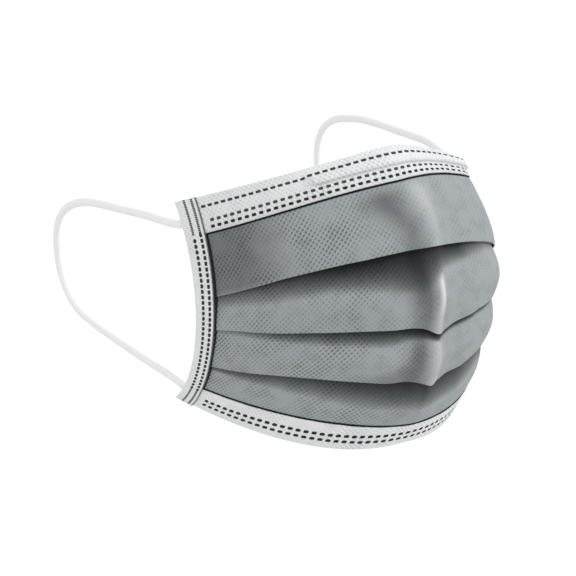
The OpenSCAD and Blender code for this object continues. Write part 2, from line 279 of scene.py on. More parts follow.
# The shaped nose: how far the fabric comes in, stands back and its top edge drops, by u, and
# the share of it that is left at each level down the crest
NOSE_U = (-0.16, -0.08, 0, 0.1, 0.2, 0.3, 0.36, 0.42, 0.55, 0.75, 0.9, 0.95, 1)
NOSE_IN = 0.001 * np.array((0, 0, 0, 0, 0, -1.2, -0.5, 2.0, 4.6, 4.8, 3.2, 1.8, 0))
NOSE_BEHIND = 0.001 * np.array((0, 0.3, 2.2, 4.5, 5.2, 3.6, 3.4, 4.0, 4.0, 3.0, 1.5, 0.8, 0))
NOSE_DROP = 0.001 * np.array((0, 0.3, 1.4, 2.3, 2.8, 3.8, 4.2, 4.4, 4.0, 3.0, 1.5, 0.8, 0))
NOSE_LEVEL = (0, 0.0125, 0.0145, 0.018, 0.024, 0.030, 0.036)
NOSE_SHARE = (1, 1, 0.72, 0.52, 0.36, 0.15, 0)


def soft_interp(at, points, values, reach, count=2):
    """Straight-line interpolation, averaged over reach on both sides."""
    near = [np.interp(at + step, points, values) for step in np.linspace(-reach, reach, count)]
    return sum(near) / count


def nose_shift(u, dc):
    """Move of the fabric where the nose strip is bent and the right cheek is drawn in."""
    share = soft_interp(dc, NOSE_LEVEL, NOSE_SHARE, 0.002, 5)
    inward, behind, drop = (
        soft_interp(u, NOSE_U, values, 0.03, 5) for values in (NOSE_IN, NOSE_BEHIND, NOSE_DROP)
    )
    top = ramp(1 - dc / (1.3 * TOP_BORDER))
    return np.stack([0.5 * drop * top - inward * share, behind * share, -drop * top], -1)


def surface(u, dc, ds):
    """A place on the outer ply's middle, at u and at those crest and side levels."""
    u, dc, ds = np.broadcast_arrays(np.asarray(u, float), dc, ds)
    w = np.abs(u)
    soft = through3(RIDGE_ROUND, dc / CREST_LEN)
    p = half_point(np.sqrt(w * w + soft * soft) - soft, dc, ds, CUP_DEPTH)
    exact = half_point(w, dc, ds, CUP_DEPTH)
    return np.stack([np.sign(u) * exact[..., 0], p[..., 1], p[..., 2]], -1) + nose_shift(u, dc)


NUDGE = 2e-4


def outward(u, dc, ds):
    """Unit normal of the surface, away from the face."""
    across = surface(u + NUDGE, dc, ds) - surface(u - NUDGE, dc, ds)
    step = NUDGE * HALF_LEN
    down = surface(u, dc + step, ds + step) - surface(u, dc - step, ds - step)
    return unit(np.cross(down, across))


def place(u, dc, ds, height):
    """A place in the stack of plies, height above the outer ply's middle."""
    return surface(u, dc, ds) + outward(u, dc, ds) * np.asarray(height)[..., None]


# ------------ soft shape of the panels
OPEN_OVER = 0.25
FOLD_SIDE = 0.011
FOLD_CREST = 0.006
EDGE_R = 0.00020
CLOSED = 0.4
CLOSED_OVER = 0.08
BULGE = (0.0006, 0.0016, 0.0014, 0.0008)
PLEATS = 3
PANEL_ROWS = 22
ROW_CROWDING = 1.6
ARC_ROWS = 6
FOLD_ROWS = 7
THIN_STACK = 0.2
THIN_OVER = 0.35
FOLD_SHADE = 0.5

# How far each next panel stands behind a pleat's edge, by u
GAP_U = (-1, -0.887, -0.8, -0.6, -0.4, -0.2, -0.08, 0, 0.1, 0.3, 0.5, 0.8, 0.887, 1)
GAP = 0.001 * np.array((
    (0.4, 0.4, 1.0, 1.6, 3.0, 3.4, 2.8, 2.2, 2.6, 1.6, 1.2, 0.8, 0.4, 0.4),
    (0.4, 0.4, 0.85, 0.9, 1.6, 2.4, 1.8, 1.2, 1.4, 1.5, 1.2, 0.9, 0.4, 0.4),
    (0.4, 0.4, 0.9, 1.2, 1.9, 2.4, 2.0, 1.3, 1.5, 1.6, 1.2, 0.9, 0.4, 0.4),
))


def openness(u):
    """How free the fabric is to move: 0 at the side bands and 1 away from them."""
    return ramp((BAND_U - np.abs(u)) / OPEN_OVER)


def set_back(u, k):
    """How far the panel below pleat k stands behind the pleat's edge."""
    return soft_interp(u, GAP_U, GAP[k], 0.03)


def waves(u, dc):
    """Slow unevenness of handled fabric."""
    x = u * HALF_LEN
    slow = np.sin(83 * x + 61 * dc + 0.4) * np.sin(47 * dc + 1.1)
    fine = np.sin(190 * x - 120 * dc + 2.0) * np.sin(150 * dc + 35 * x)
    return 0.00030 * slow + 0.00010 * fine


# The crest's crease and the hollow at its left, by level down the crest: where each is and its
# width, as shares of the half length, how dark the painted shade in the hollow is and how pale
# the painted highlight on the crease is
RIDGE_AT = 0.001 * np.array((12, 20, 24, 28, 36, 46, 52, 58, 64, 70, 76, 82, 92, 100))
RIDGE_U = (-0.02, -0.015, -0.01, 0.0, 0.0, 0.004, 0.004, -0.008, 0.0, 0.008, 0.0, 0.01, 0.0, 0.0)
HOLLOW_U = (
    -0.16, -0.16, -0.12, -0.085, -0.08, -0.045, -0.045, -0.045, -0.05, -0.055, -0.06, -0.06,
    -0.07, -0.07,
)
HOLLOW_LEFT = (0.09, 0.09, 0.09, 0.07, 0.05, 0.12, 0.08, 0.05, 0.05, 0.05, 0.06, 0.22, 0.08, 0.06)
HOLLOW_RIGHT = (
    0.08, 0.075, 0.065, 0.05, 0.05, 0.026, 0.026, 0.022, 0.022, 0.028, 0.035, 0.03, 0.04, 0.04,
)
HOLLOW_DARK = (0.55, 0.62, 0.5, 0.42, 0.42, 0.62, 0.58, 0.42, 0.42, 0.52, 0.55, 0.45, 0.25, 0.0)
RIDGE_WIDTH = (
    0.05, 0.045, 0.04, 0.035, 0.03, 0.011, 0.011, 0.014, 0.02, 0.024, 0.024, 0.02, 0.02, 0.02,
)
# How pale the painted highlight on the crease is, by level
RIDGE_HIGHLIGHT = (0.3, 0.32, 0.28, 0.15, 0.2, 0.9, 0.8, 0.3, 0.3, 0.35, 0.25, 0.35, 0.0, 0.0)
CREASE_UP = 0.0012
HOLLOW_DOWN = 0.0014


def by_level(values, dc):
    return soft_interp(dc, RIDGE_AT, values, 0.002, 3)


def ridge_height(u, dc):
    """The crest stands up as a crease, with a shallow hollow on each side of it."""
    t = dc / CREST_LEN
    off = u - by_level(RIDGE_U, dc)
    crease = CREASE_UP * np.exp(-((off / (by_level(RIDGE_WIDTH, dc) + 0.006)) ** 2))
    hollow = HOLLOW_DOWN * np.exp(-(((np.abs(off) - 0.095) / 0.06) ** 2))
    return ramp((t - 0.10) / 0.10) * ramp((0.88 - t) / 0.15) * (crease - hollow)


def ridge_shade(u, dc):
    """Painted shade in the hollow at the crease's left, less a painted highlight on the crease."""
    off = u - by_level(HOLLOW_U, dc)
    width = np.where(off < 0, by_level(HOLLOW_LEFT, dc), by_level(HOLLOW_RIGHT, dc))
    dark = by_level(HOLLOW_DARK, dc) * np.exp(-((off / width) ** 2))
    crease = (u - by_level(RIDGE_U, dc)) / by_level(RIDGE_WIDTH, dc)
    return dark - by_level(RIDGE_HIGHLIGHT, dc) * np.exp(-(crease ** 2))


# How far each pleat's edge hangs below its level, by u, as the fabric has settled
EDGE_U = (-1, -0.8, -0.6, -0.42, -0.27, -0.15, -0.045, 0.0, 0.07, 0.15, 0.26, 0.4, 1)
EDGE_SHIFT = 0.001 * np.array((
    (0, -0.5, -0.8, -0.3, 0.1, -0.3, -1.0, -1.3, -0.9, -0.4, 0.2, 0.3, 0),
    (0, -0.4, 0.1, 0.0, -0.4, -0.6, -1.1, 0.3, 0.3, -0.8, -1.4, -0.5, 0),
    (0, -0.2, -0.8, -1.2, -1.0, -0.6, -0.6, -0.3, 0.9, -0.5, -1.5, -0.8, 0),
))


def edge_shift(u, k):
    return soft_interp(u, EDGE_U, EDGE_SHIFT[k], 0.012) if 0 <= k < PLEATS else 0 * u


class Column:
    """The fabric's rows at every u: crest and side level, height, thinness and shade."""

    def __init__(self, u):
        self.u = np.asarray(u, float)
        self.rows = []

    def add(self, dc, ds, height, thin=1.0, shade=0.0):
        zero = 0 * self.u
        self.rows.append([zero + value for value in (dc, ds, height, thin, shade)])

    def arrays(self):
        values = [np.stack([row[i] for row in self.rows], 1) for i in range(5)]
        u = np.broadcast_to(self.u[:, None], values[0].shape)
        return u, *values


def pleat_scale(u):
    """Size of the folds' curves: less at the side bands, where the pleats are pressed shut."""
    return CLOSED + (1 - CLOSED) * ramp((BAND_U - np.abs(u)) / CLOSED_OVER)


def panel_thin(u, k, t):
    """The plies lie closer together in the pleats than in the borders."""
    thin = THIN_STACK * pleat_scale(u)
    if k == 0:
        return 1 + (thin - 1) * ramp(t / THIN_OVER)
    if k == PLEATS:
        return 1 + (thin - 1) * ramp((1 - t) / THIN_OVER)
    return thin


def panel_height(u, k, t):
    """Height of panel k at share t of the way down it, and above its top where t < 0."""
    t = np.clip(t, 0, 1)
    back = -set_back(u, k - 1) * (1 - ramp(t * 1.5)) if k > 0 else 0
    return back + BULGE[k] * np.sin(math.pi * t) * openness(u)


# Shade on the fabric tucked in under each pleat's edge, by u: its depth and how far it reaches
FOLD_U = (-0.887, -0.6, -0.4, -0.2, -0.06, 0.03, 0.15, 0.4)
FOLD_DARK = (
    (0.60, 0.85, 0.955, 0.965, 0.95, 0.93, 0.92, 0.25),
    (0.20, 0.75, 0.86, 0.92, 0.97, 0.96, 0.95, 0.88),
    (0.68, 0.76, 0.85, 0.88, 0.89, 0.92, 0.88, 0.72),
)
FOLD_REACH = 0.001 * np.array((
    (4.0, 6.5, 7.5, 11, 14.5, 7.0, 5.5, 1.5),
    (0.6, 2.4, 4.3, 5.2, 3.2, 1.6, 1.6, 1.3),
    (0.8, 4.0, 6.0, 9.0, 9.5, 10, 9.0, 5.0),
))
FOLD_START = (0.0006, 0.0009, 0.0013)


def pleat_shade(u, k, below):
    """Shade of the fabric so far below pleat k's edge."""
    dark = np.interp(u, FOLD_U, FOLD_DARK[k])
    left = 1 - (below - FOLD_START[k]) / np.interp(u, FOLD_U, FOLD_REACH[k])
    return 1 - (1 - dark) ** np.clip(left, 0, 1)


def panel_size(u, k):
    """Height of panel k along the fabric."""
    w = np.abs(u)
    return PANEL_CREST[k] * (1 - w) + PANEL_SIDE[k] * w


def line_point(u, k, above):
    """Crest and side levels of the place so far above pleat k's edge, going up the fabric."""
    here = k - (above > panel_size(u, k)) * (k > 0)
    over = above - np.where(here < k, panel_size(u, k), 0)
    dc, ds = 0 * u, 0 * u
    for i in {k, max(k - 1, 0)}:
        t = 1 - over / panel_size(u, i)
        shift = edge_shift(u, i - 1) * (1 - t) + edge_shift(u, i) * t
        chosen = here == i
        dc = np.where(chosen, TOP_BORDER + sum(PANEL_CREST[:i]) + PANEL_CREST[i] * t + shift, dc)
        ds = np.where(chosen, TOP_BORDER + sum(PANEL_SIDE[:i]) + PANEL_SIDE[i] * t + shift, ds)
    return dc, ds


def add_panel(column, k):
    """Rows of panel k, clear of the groove's own rows and crowded below a pleat."""
    u = column.u
    end = EDGE_R * pleat_scale(u) if k < PLEATS else GROOVE_W + GROOVE_CLEAR
    for i in range(2 if k == 0 else 0, PANEL_ROWS + 1):
        share = (i / PANEL_ROWS) ** (ROW_CROWDING if k else 1)
        above = panel_size(u, k) - (panel_size(u, k) - end) * share
        t = 1 - above / panel_size(u, k)
        shade = pleat_shade(u, k - 1, t * panel_size(u, k)) if k > 0 else 0
        column.add(*line_point(u, k, above), panel_height(u, k, t), panel_thin(u, k, t), shade)


def add_pleat(column, k):
    """The folded edge below panel k, the hidden return and the fold behind it."""
    u = column.u
    scale = pleat_scale(u)
    radius = EDGE_R * scale
    gap = set_back(u, k)
    w = np.abs(u)
    fold = FOLD_CREST * (1 - w) + FOLD_SIDE * w

    arc = math.pi * np.arange(ARC_ROWS + 1) / ARC_ROWS
    shares = np.arange(1, FOLD_ROWS + 1) / (FOLD_ROWS + 1)
    places = [(radius * (1 - math.sin(a)), radius * (1 - math.cos(a))) for a in arc[1:]]
    places += [
        (radius + (fold - 2 * radius) * t, 2 * radius + (gap - 4 * radius) * t) for t in shares
    ]
    places += [(fold - radius * (1 - math.sin(a)), gap - radius * (1 + math.cos(a))) for a in arc]
    places += [((fold - radius) * (1 - t), gap) for t in shares]
    for above, behind in places:
        height = panel_height(u, k, 1 - above / panel_size(u, k)) - behind
        shade = FOLD_SHADE * (behind > radius)
        column.add(*line_point(u, k, above), height, THIN_STACK * scale, shade)


# How far the bottom border's inner edge stands above its level, by u
BOTTOM_U = (-0.9, -0.55, -0.3, 0.0, 1)
BOTTOM_RISE = (0.0019, 0.0016, 0.0013, 0.0, 0.0)


def bottom_rise(u):
    return np.interp(u, BOTTOM_U, BOTTOM_RISE)


TURN_R = 1.5 * PITCH
TURN_LEVEL = TURN_R + PLY / 2
TURN_MIDDLE = -PITCH / 2
BORDER_ROWS = 8
BORDER_STEP = 0.00035
GROOVE_STEP = 0.00016
GROOVE_W = 0.0008
GROOVE_DEEP = 0.00009
GROOVE_EDGE = 0.0004
GROOVE_CLEAR = 0.0005
BAND_LINE = 0.00035
LINE_SOFT = 0.0002
# Darkness of the painted shade on the top panel by the left band
CORNER_SHADE = 0.5


def dent(d, border, depth):
    """Depth of the pressed groove at level d of that border."""
    return depth * math.exp(-(((d - border - GROOVE_W / 2) / (0.45 * GROOVE_W)) ** 2))


def fabric_columns(u, groove=0):
    """All rows of the outer ply's middle, from its top edge to its bottom edge."""
    column = Column(u)
    for d in np.linspace(TURN_LEVEL, TOP_BORDER - 2 * GROOVE_EDGE, BORDER_ROWS):
        column.add(d, d, 0)
    for d in np.arange(TOP_BORDER - GROOVE_EDGE, TOP_BORDER + GROOVE_W + GROOVE_EDGE, GROOVE_STEP):
        column.add(d, d, -dent(d, TOP_BORDER, groove))
    for k in range(PLEATS + 1):
        add_panel(column, k)
        if k < PLEATS:
            add_pleat(column, k)
    for d in np.arange(BOTTOM_BORDER + GROOVE_W, BOTTOM_BORDER - GROOVE_EDGE, -GROOVE_STEP):
        column.add(CREST_LEN - d, SIDE_LEN - d, -dent(d, BOTTOM_BORDER, groove))
    for d in np.linspace(BOTTOM_BORDER - 2 * GROOVE_EDGE, TURN_LEVEL, BORDER_ROWS):
        column.add(CREST_LEN - d, SIDE_LEN - d, 0)
    u, dc, ds, height, thin, shade = column.arrays()
    t = dc / CREST_LEN
    inside = openness(u) * ramp((t - 0.1) / 0.06) * ramp((0.9 - t) / 0.06)
    height = height + inside * (waves(u, dc) + ridge_height(u, dc))
    crest_shade = inside * ridge_shade(u, dc)
    # Painted shade on the top panel near the left band, darker towards the band
    corner = CORNER_SHADE * ramp((-0.48 - u) / 0.3) * ramp((0.33 - t) / 0.04)
    both = 1 - (1 - shade) * (1 - np.maximum(crest_shade, 0)) * (1 - corner)
    # Below zero the crest's value is a painted highlight on the crease, paler than the fabric
    shade = both + np.minimum(crest_shade, 0) * (1 - shade) ** 2
    rise = bottom_rise(u) * ramp((t - 0.78) / 0.11) * ramp((1 - t) / 0.08)
    return u, dc - rise, ds - rise, height, thin, shade


def shifted(u, dc, ds, height, thin, shade, h):
    """The rows moved square to themselves by h in the stack, with mitred corners."""
    w = np.abs(u)
    h = h * thin
    level = dc * (1 - w) + ds * w
    step = np.stack([np.diff(level, axis=1), np.diff(height, axis=1)], -1)
    step /= np.maximum(np.linalg.norm(step, axis=-1, keepdims=True), 1e-9)
    left = np.stack([-step[..., 1], step[..., 0]], -1)
    before = np.concatenate([left[:, :1], left], 1)
    after = np.concatenate([left, left[:, -1:]], 1)
    mitre = (before + after) / np.maximum(1 + (before * after).sum(-1, keepdims=True), 0.4)
    across, out = h * mitre[..., 0], h * mitre[..., 1]
    return u, dc + across, ds + across, height + out, thin, shade


def down_length(grid):
    """Length down each column of a grid of points, from its first row."""
    steps = np.linalg.norm(np.diff(grid, axis=1), axis=-1)
    return np.concatenate([np.zeros((len(grid), 1)), np.cumsum(steps, 1)], 1)


# ------------ meshes
def mesh_object(name, points, faces, maps, values=None):
    """A smooth mesh with named maps and named values, each given per point."""
    mesh = bpy.data.meshes.new(name)
    mesh.from_pydata(np.asarray(points).tolist(), [], faces)
    mesh.validate()
    mesh.update()
    mesh.polygons.foreach_set("use_smooth", [True] * len(mesh.polygons))
    corners = np.empty(len(mesh.loops), int)
    mesh.loops.foreach_get("vertex_index", corners)
    for key, flat in maps.items():
        layer = mesh.uv_layers.new(name=key)
        layer.data.foreach_set("uv", np.asarray(flat, float)[corners].ravel())
    for key, value in (values or {}).items():
        attribute = mesh.attributes.new(key, "FLOAT", "POINT")
        attribute.data.foreach_set("value", np.asarray(value, np.float32).ravel())
    obj = bpy.data.objects.new(name, mesh)
    bpy.context.collection.objects.link(obj)
    return obj


def grid_faces(n, m, start=0, step=1):
    """Quads of an n by m grid of vertices, turned over where step is -1."""
    corners = (start + i * m + j for i in range(n - 1) for j in range(m - 1))
    return [(a, a + m, a + m + 1, a + 1)[::step] for a in corners]


def sheet_object(name, front, back, maps, values=None):
    """A closed thin sheet between two grids, with the same maps and values on both."""
    n, m = front.shape[:2]
    size = n * m
    faces = grid_faces(n, m) + grid_faces(n, m, size, -1)
    grid = np.arange(size).reshape(n, m)
    edges = (grid[0], grid[1:, -1], grid[-1, -2::-1], grid[-2:0:-1, 0])
    rim = np.concatenate(edges).tolist()
    faces += [(a, b, size + b, size + a) for a, b in zip(rim, rim[1:] + rim[:1])]
    points = np.concatenate([front.reshape(-1, 3), back.reshape(-1, 3)])
    maps = {key: np.concatenate([flat.reshape(-1, 2)] * 2) for key, flat in maps.items()}
    values = {key: np.concatenate([np.ravel(value)] * 2) for key, value in (values or {}).items()}
    return mesh_object(name, points, faces, maps, values)


# ------------ weld marks
DASH_PITCH = 0.0028
DASH_LEN = 0.0019
DASH_W = 0.0010
DOT_LEN = 0.0017
DOT_W = 0.00112
LOW_LEN = 0.0018
LOW_W = 0.0017
BAND_PITCH = 0.00184
BAND_DOT = 0.0014
RIB_PITCH = 0.00062
RIB_ZONE = 0.0125
RIB_LEN = 0.0005
RIB_W = 0.0011
LANE_HALF = 0.0006
LANE_SOFT = 0.0003
PRESS = 0.00016
PRESS_OUT = 0.00013
PRESS_SOFT = 0.00024
INNER_END = BAND_U * HALF_LEN - 0.0004
GUIDE_STEP = 0.0005
GUIDE_COLUMNS = 241

# The border rows' marks and their darkness, and which rows each guide carries
BORDER_MARKS = {
    "single": (DASH_LEN, DASH_W, 0.95),
    "upper": (DOT_LEN, DOT_W, 0.93),
    "lower": (DOT_LEN, DOT_W, 0.985),
    "bottom_inner": (LOW_LEN, LOW_W, 0.985),
    "bottom_outer": (LOW_LEN, LOW_W, 0.985),
}
ROWS_ON = {
    "top": ("single", "upper", "lower"),
    "bottom": ("bottom_inner", "bottom_outer"),
    "band": ("band_outer", "band_inner"),
}


def on_border(u, d, top, height=PITCH + PLY / 2):
    """Places on the front of the top or the bottom border, at level d from its edge."""
    return place(u, d, d, height) if top else place(u, CREST_LEN - d, SIDE_LEN - d, height)


def on_band(inset, along, height=2 * PITCH):
    """Places on the front of the left side band."""
    return place(inset / HALF_LEN - 1, along / SIDE_LEN * CREST_LEN, along, height)


def make_guides():
    """Plain grids over the borders and the near band, to find the weld rows on."""
    made = {}
    for name, border in (("top", TOP_BORDER), ("bottom", BOTTOM_BORDER)):
        levels = np.linspace(0, border, round(border / GUIDE_STEP) + 1)
        columns = np.linspace(-BAND_U, BAND_U, GUIDE_COLUMNS)
        u, d = np.meshgrid(columns, levels, indexing="ij")
        made[name] = (u, d, on_border(u, d, name == "top"))
    levels = np.linspace(0, SIDE_LEN, 121)
    inset, along = np.meshgrid(np.linspace(0, SIDE_BAND, 21), levels, indexing="ij")
    made["band"] = (inset, along, on_band(inset, along))
    return made


def find_on(guide, point):
    """Where a ray through the image point meets a guide, as its two coordinates."""
    *coordinates, grid = guide
    flat = grid.reshape(-1, 3)
    faces = grid_faces(*grid.shape[:2])
    hit, _, index, _ = BVHTree.FromPolygons(flat.tolist(), faces).ray_cast(*view_ray(*point))
    if index is None:
        corners = [int(np.argmin(np.linalg.norm(to_image(flat) - np.array(point), axis=1)))]
        weights = np.ones(1)
    else:
        corners = list(faces[index])
        weights = 1 / (np.linalg.norm(flat[corners] - np.array(hit), axis=1) + 1e-7)
    weights /= weights.sum()
    return [float((values.ravel()[corners] * weights).sum()) for values in coordinates]


guides = make_guides()
found = {
    key: find_on(guides[guide], POINTS[key + "_row"]) for guide in ROWS_ON for key in ROWS_ON[guide]
}
WeldRow = namedtuple("WeldRow", "level phase pitch length width first last dark")


def border_row(key):
    """A border's row of marks, as far as the side bands."""
    u, level = found[key]
    length, width, dark = BORDER_MARKS[key]
    end = INNER_END - length / 2
    return WeldRow(level, u * HALF_LEN, DASH_PITCH, length, width, -end, end, dark)


TOP_ROWS = [border_row(key) for key in ROWS_ON["top"]]
BOTTOM_ROWS = [border_row(key) for key in ROWS_ON["bottom"]]
BAND_ROWS = [found[key] for key in ROWS_ON["band"]]


def spot(along, across, length, width):
    """1 inside a rounded mark of that length and width, 0 outside it."""
    half = max(length - width, 0) / 2
    reach = np.hypot(np.maximum(np.abs(along) - half, 0), across)
    return ramp((width / 2 + PRESS_OUT - reach) / PRESS_SOFT)


def repeated(value, pitch, phase):
    """Distance of value from the nearest mark of a row of that pitch and phase."""
    return (value - phase + pitch / 2) % pitch - pitch / 2


def border_dents(u, down, rows):
    """Depth of the weld marks pressed into a turned border."""
    total = 0 * u
    for row in rows:
        along = repeated(u * HALF_LEN, row.pitch, row.phase)
        inside = np.abs(u * HALF_LEN - along) < row.last
        total = np.maximum(total, spot(along, down - row.level, row.length, row.width) * inside)
    return PRESS * total


def band_dents(along, inset):
    """Depth of a side band's marks: dots, and close ribs where the loop's ends are welded."""
    total = 0 * along
    at_end = (along < RIB_ZONE) | (along > SIDE_LEN - RIB_ZONE)
    for level, phase in BAND_ROWS:
        off = inset - level
        dots = spot(repeated(along, BAND_PITCH, phase), off, BAND_DOT, BAND_DOT)
        ribs = spot(repeated(along, RIB_PITCH, phase), off, LANE_SOFT, LANE_HALF)
        lane = ramp((LANE_HALF - np.abs(off)) / LANE_SOFT)
        total = np.maximum(total, np.where(at_end, (0.55 + 0.3 * ribs) * lane, dots))
    return PRESS * total


# ------------ materials
LATTICE_PITCH = 0.0019
WALES = 18
STITCH_PITCH = 0.0009
MARK_SOFT = 0.00012
BACK_CODE = -0.05
BOTTOM_CODE = -0.10
GREY_HIGH = (0.366, 0.391, 0.400)
GREY_LOW = (0.125, 0.137, 0.142)
# Colour of the dark line and of the painted shade on the grey ply
GREY_DARK = (0.010, 0.011, 0.012)
WHITE_HIGH = (0.83, 0.836, 0.842)
WHITE_LOW = (0.55, 0.56, 0.57)
# Colour of the weld marks, of the bands' dark edge line and of the painted shade on the white plies
WELD_AND_SHADE_DARK = (0.012, 0.013, 0.014)
# Colour of the painted highlight on the grey ply's crease
PAINTED_HIGHLIGHT = (0.80, 0.82, 0.83)


class Value:
    """A node's output, so that sums and products of outputs can be written out."""

    def __init__(self, graph, socket):
        self.graph = graph
        self.socket = socket

    def __add__(self, other):
        return self.graph.math("ADD", self, other)

    def __sub__(self, other):
        return self.graph.math("SUBTRACT", self, other)

    def __mul__(self, other):
        return self.graph.math("MULTIPLY", self, other)


class Graph:
    """The node tree of a material or of the world, with short ways to add to it."""

    def __init__(self, owner):
        owner.use_nodes = True
        self.nodes = owner.node_tree.nodes
        self.links = owner.node_tree.links

    def feed(self, socket, value):
        """Sets a socket to a number, a colour or a vector, or links an output to it."""
        if isinstance(value, Value):
            self.links.new(value.socket, socket)
        elif isinstance(value, tuple):
            socket.default_value = (*value, 1)[:len(socket.default_value)]
        else:
            socket.default_value = value

    def node(self, kind, output, feeds=(), **settings):
        """Adds a node with (input, value) feeds, and gives one of its outputs."""
        made = self.nodes.new("ShaderNode" + kind)
        for key, value in settings.items():
            setattr(made, key, value)
        for key, value in feeds:
            self.feed(made.inputs[key], value)
        return Value(self, made.outputs[output])

    def math(self, operation, *values, clamp=False):
        return self.node("Math", 0, enumerate(values), operation=operation, use_clamp=clamp)

    def off(self, value, middle, gain, clamp=False):
        """The value's distance from middle, times gain."""
        return self.math("MULTIPLY", value - middle, gain, clamp=clamp)

    def mix(self, factor, first, second):
        feeds = ((0, factor), (6, first), (7, second))
        return self.node("Mix", 2, feeds, data_type="RGBA")

    def uv(self, name):
        return self.node("UVMap", 0, uv_map=name)

    def split(self, vector):
        return [self.node("SeparateXYZ", axis, [(0, vector)]) for axis in "XY"]

    def noise(self, source, scale, detail, stretch=(1, 1, 1)):
        mapped = self.node("Mapping", 0, (("Vector", source), ("Scale", stretch)))
        feeds = (("Vector", mapped), ("Scale", scale), ("Detail", detail))
        return self.node("TexNoise", "Fac", feeds)

    def bump(self, shader, *heights):
        """Stacks bumps on the shader: (height, strength, distance in metres)."""
        feeds = {}
        for height, strength, distance in heights:
            feeds.update(Height=height, Strength=strength, Distance=distance)
            feeds["Normal"] = self.node("Bump", 0, feeds.items())
        self.feed(shader.inputs["Normal"], feeds["Normal"])


def new_material(name, color, roughness, specular=0.25, **inputs):
    material = bpy.data.materials.new(name)
    graph = Graph(material)
    shader = graph.nodes["Principled BSDF"]
    values = {"Base Color": color, "Roughness": roughness, "Specular IOR Level": specular, **inputs}
    for key, value in values.items():
        graph.feed(shader.inputs[key], value)
    return material, graph, shader


def bond_lattice(graph, flat):
    """Height of the embossed lattice of bond points, above and below its middle."""
    x, y = graph.split(flat)
    first, second = (
        graph.math("SINE", line * (2 * math.pi / LATTICE_PITCH)) * share
        for line, share in ((x + y, 0.625), (x - y, 0.375))
    )
    return first + second


def weld_marks(graph, x, y, row):
    """Darkness of one weld row's rounded marks, at the weld map's x and y."""
    corner = 0.35 * min(row.width, row.length)
    along = graph.math("WRAP", x - row.phase, row.pitch / 2, -row.pitch / 2)
    beyond = [
        graph.math("MAXIMUM", graph.math("ABSOLUTE", distance) - (size / 2 - corner), 0)
        for distance, size in ((along, row.length), (y - row.level, row.width))
    ]
    reach = graph.math("SQRT", beyond[0] * beyond[0] + beyond[1] * beyond[1])
    inner = graph.math("SUBTRACT", corner + MARK_SOFT / 2, reach)
    shown = graph.math("MULTIPLY", inner, 1 / MARK_SOFT, clamp=True)
    after = graph.math("GREATER_THAN", x - along, row.first)
    before = graph.math("LESS_THAN", x - along, row.last)
    return shown * (after * before * row.dark)


def spunbond(name, high, low, dark, lattice_share, weld_rows=()):
    """Embossed nonwoven: bond lattice, loose fibres, cloudy density, and marks.

    A positive mark mixes to the dark colour: weld marks, dark lines and painted shade. A negative one
    is a painted highlight and mixes to the pale one.
    """
    material, graph, shader = new_material(
        name, high, 0.85, 0.12, **{"Sheen Weight": 0.04, "Sheen Roughness": 0.5}
    )
    flat = graph.uv("flat")
    mark, emboss = (
        graph.node("Attribute", "Fac", attribute_name=key) for key in ("mark", "emboss")
    )
    if weld_rows:
        x, y = graph.split(graph.uv("weld"))
        for row in weld_rows:
            mark = graph.math("MAXIMUM", mark, weld_marks(graph, x, y, row))
    lattice = bond_lattice(graph, flat) * emboss
    fibres = graph.noise(flat, 2600, 3, (1, 0.35, 1))
    pressed = graph.off(graph.noise(flat, 70, 3), 0.28, 2.2, clamp=True)
    shade = graph.math("MAXIMUM", lattice * -1, 0) * lattice_share * pressed
    cloudy = shade + graph.off(graph.noise(flat, 190, 5), 0.5, 0.9)
    share = graph.math("ADD", cloudy, graph.off(fibres, 0.5, 0.6), clamp=True)
    # Below zero the mark is a painted highlight on the crease, mixed towards the pale colour
    pale = graph.math("MULTIPLY", mark, -1, clamp=True)
    base = graph.mix(pale, graph.mix(share, high, low), PAINTED_HIGHLIGHT)
    mark = graph.math("MINIMUM", mark, 1, clamp=True)
    graph.feed(shader.inputs["Base Color"], graph.mix(mark, base, dark))
    graph.bump(shader, (lattice, 0.5, 0.00014), (fibres, 0.35, 0.00006))
    return material


def knitted(name, high, low):
    """Soft round knitted elastic: fine wales along the cord and a little fuzz."""
    material, graph, shader = new_material(
        name, (0.82, 0.82, 0.82), 0.8, **{"Sheen Weight": 0.3, "Sheen Roughness": 0.5}
    )
    flat = graph.uv("flat")
    x, y = graph.split(flat)
    wales = graph.math("SINE", x * (2 * math.pi * WALES))
    stitches = graph.math("SINE", y * (2 * math.pi / STITCH_PITCH) + wales)
    fuzz = graph.noise(flat, 700, 2, (0.004, 1, 1))
    shade = graph.off(fuzz, 0.4, 0.5, clamp=True)
    graph.feed(shader.inputs["Base Color"], graph.mix(shade, high, low))
    graph.bump(shader, (wales + stitches * 0.6, 0.15, 0.00005), (fuzz, 0.1, 0.00005))
    return material


def plain(name, color, worn, roughness, metallic=0.0):
    """A plain surface with fine drawn streaks and a little unevenness."""
    material, graph, shader = new_material(name, color, roughness, Metallic=metallic)
    streaks = graph.noise(graph.node("TexCoord", "Object"), 1500, 3, (0.08, 1, 1))
    graph.feed(shader.inputs["Base Color"], graph.mix(streaks, color, worn))
    graph.bump(shader, (streaks, 0.2, 0.00003))
    return material


